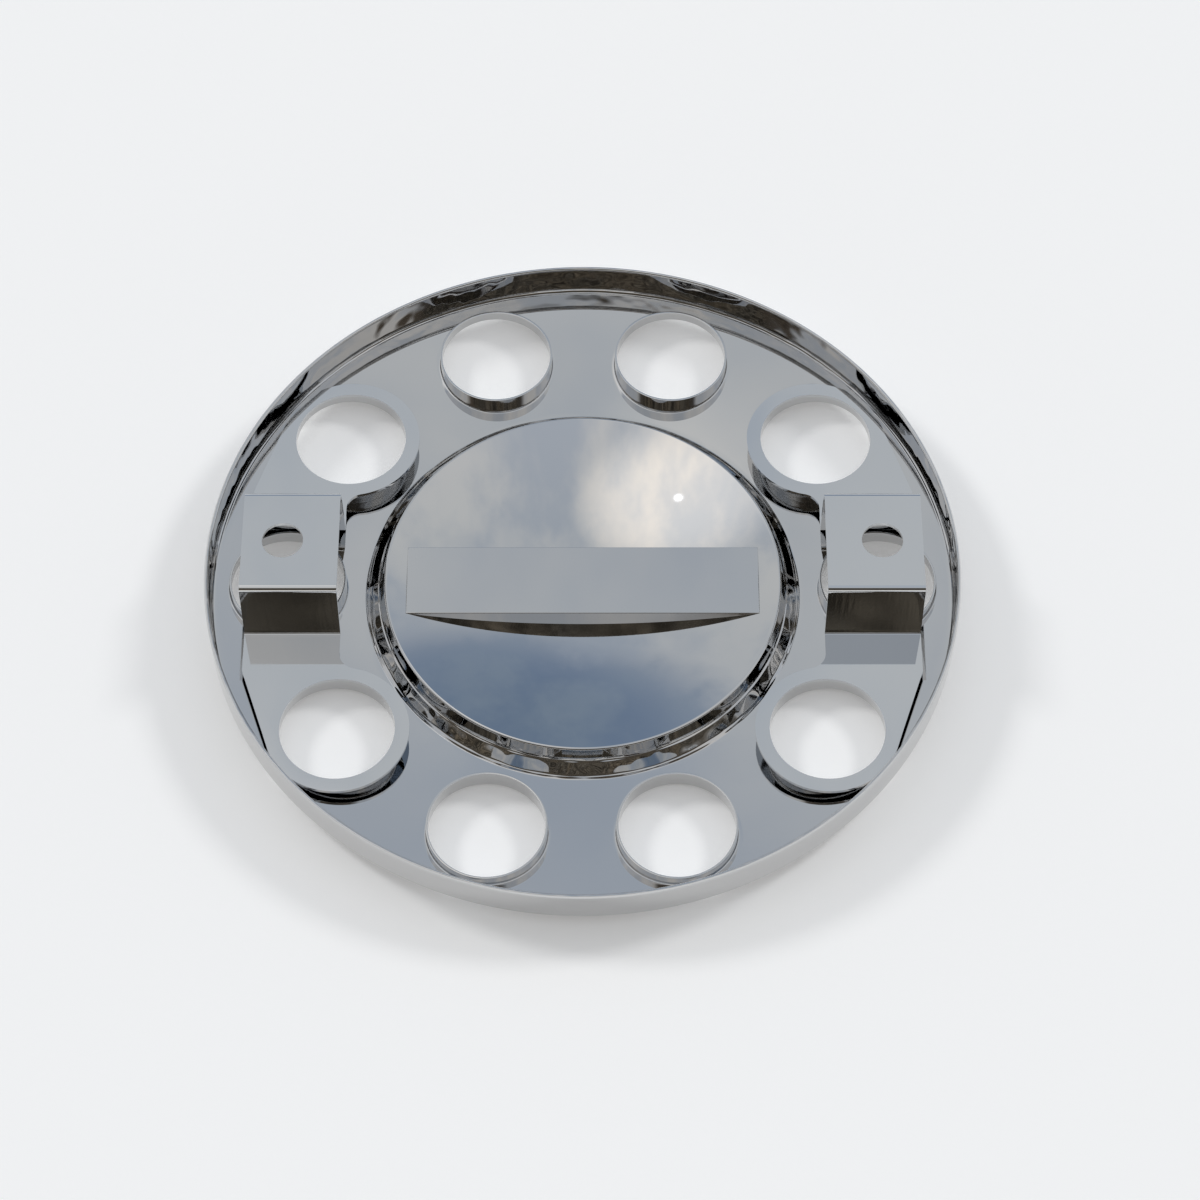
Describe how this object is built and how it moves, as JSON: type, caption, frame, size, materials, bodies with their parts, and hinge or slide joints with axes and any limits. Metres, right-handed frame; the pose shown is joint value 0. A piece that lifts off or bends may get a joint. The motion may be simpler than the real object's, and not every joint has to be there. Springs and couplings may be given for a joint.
{
  "type": "truck wheel simulator",
  "caption": "Round polished steel wheel cover with nut openings, a dished centre with a flat bar, and two folded stud brackets on its back.",
  "frame": {"origin": "on the cover's axis, in the plane of the ring under the foot of its hub, on which it lies front down", "axes": "+Z along the cover's axis towards the wheel, out of the hats of the brackets; +X through the right bracket's stud hole"},
  "size_m": [0.4266, 0.4266, 0.054],
  "materials": {
    "cover_steel": "mirror-polished stainless steel",
    "bracket_steel": "mirror-polished stainless steel"
  },
  "bodies": {
    "root": {"cover": "cover_steel", "bracket_left": "bracket_steel", "bracket_right": "bracket_steel"}
  },
  "joints": []
}
